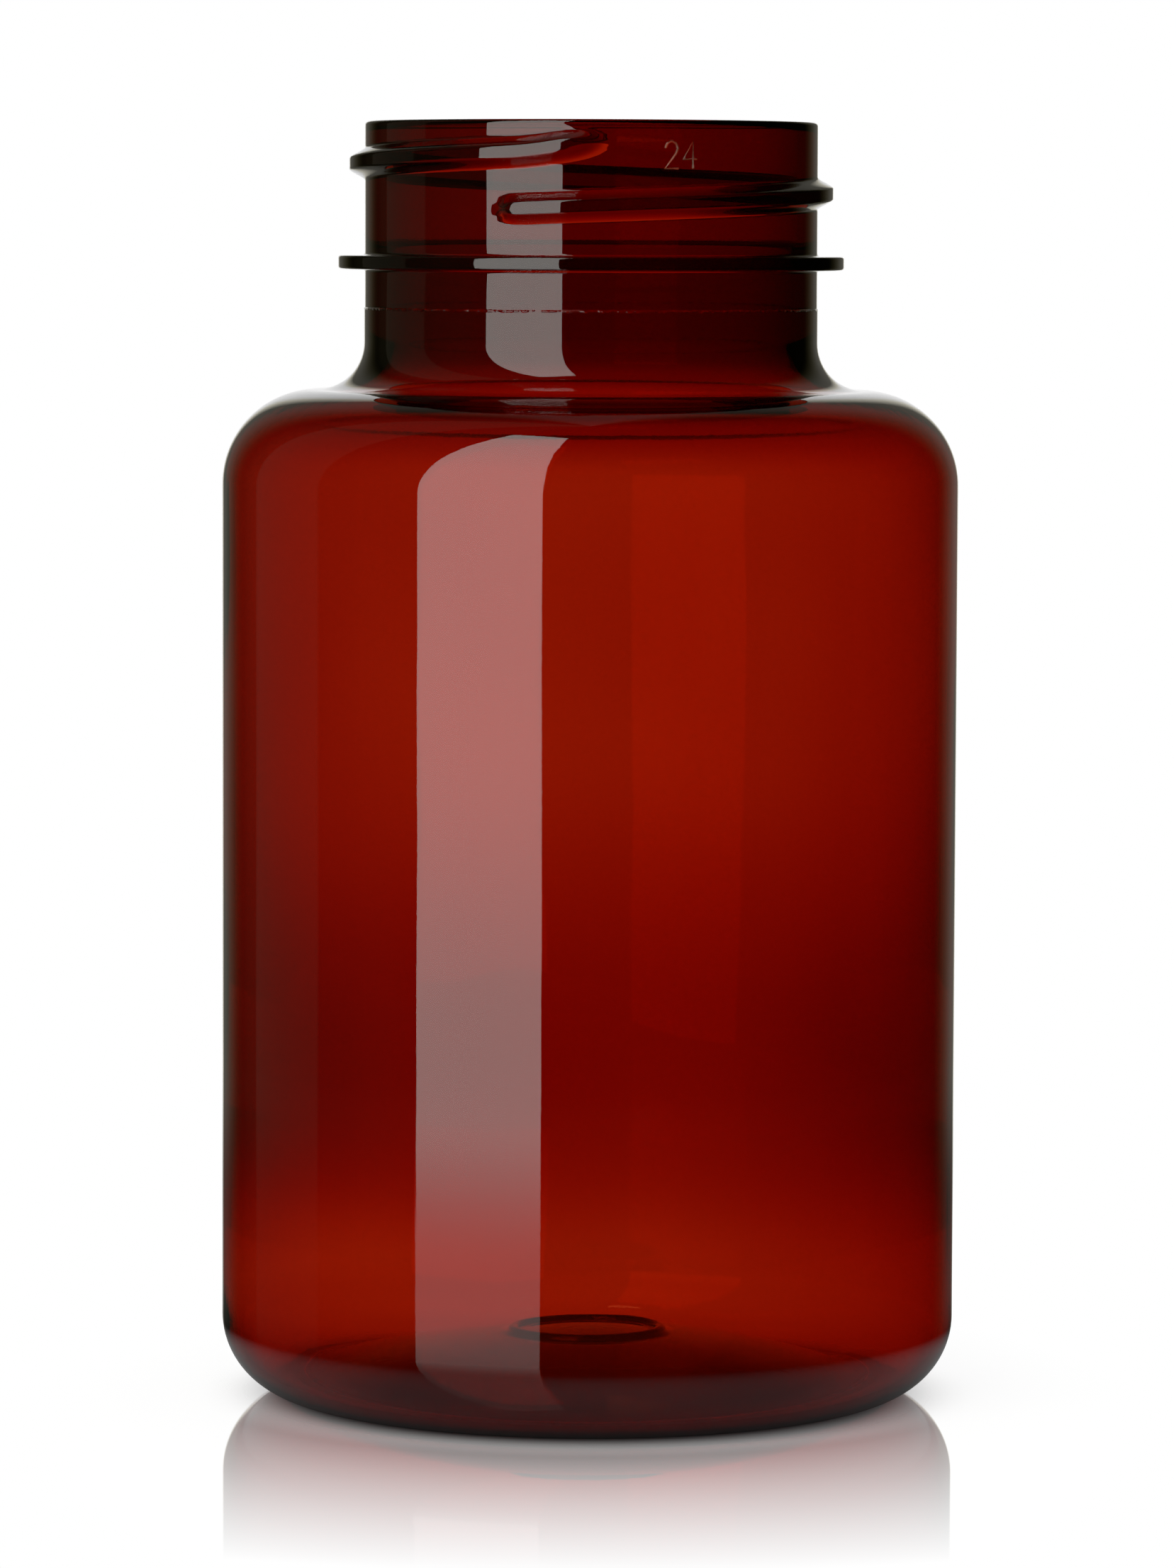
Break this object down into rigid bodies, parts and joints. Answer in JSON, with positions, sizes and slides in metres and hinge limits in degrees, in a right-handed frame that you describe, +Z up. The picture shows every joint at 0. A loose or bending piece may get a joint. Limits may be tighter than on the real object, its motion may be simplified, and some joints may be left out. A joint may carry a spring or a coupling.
{
  "type": "wide-mouth tablet bottle",
  "caption": "Round amber plastic bottle with a wide screw neck, transfer bead and domed base, for tablets and capsules; open, with no closure.",
  "frame": {"origin": "on the bottle's axis, in the plane that its standing ring rests on", "axes": "+Z up along the bottle's axis and out of its mouth; the thread's upper end faces -Y"},
  "size_m": [0.0566, 0.0566, 0.0983],
  "materials": {
    "amber_plastic": "clear amber PET, glossy blown surface, see-through"
  },
  "bodies": {
    "root": {"bottle": "amber_plastic"}
  },
  "joints": []
}
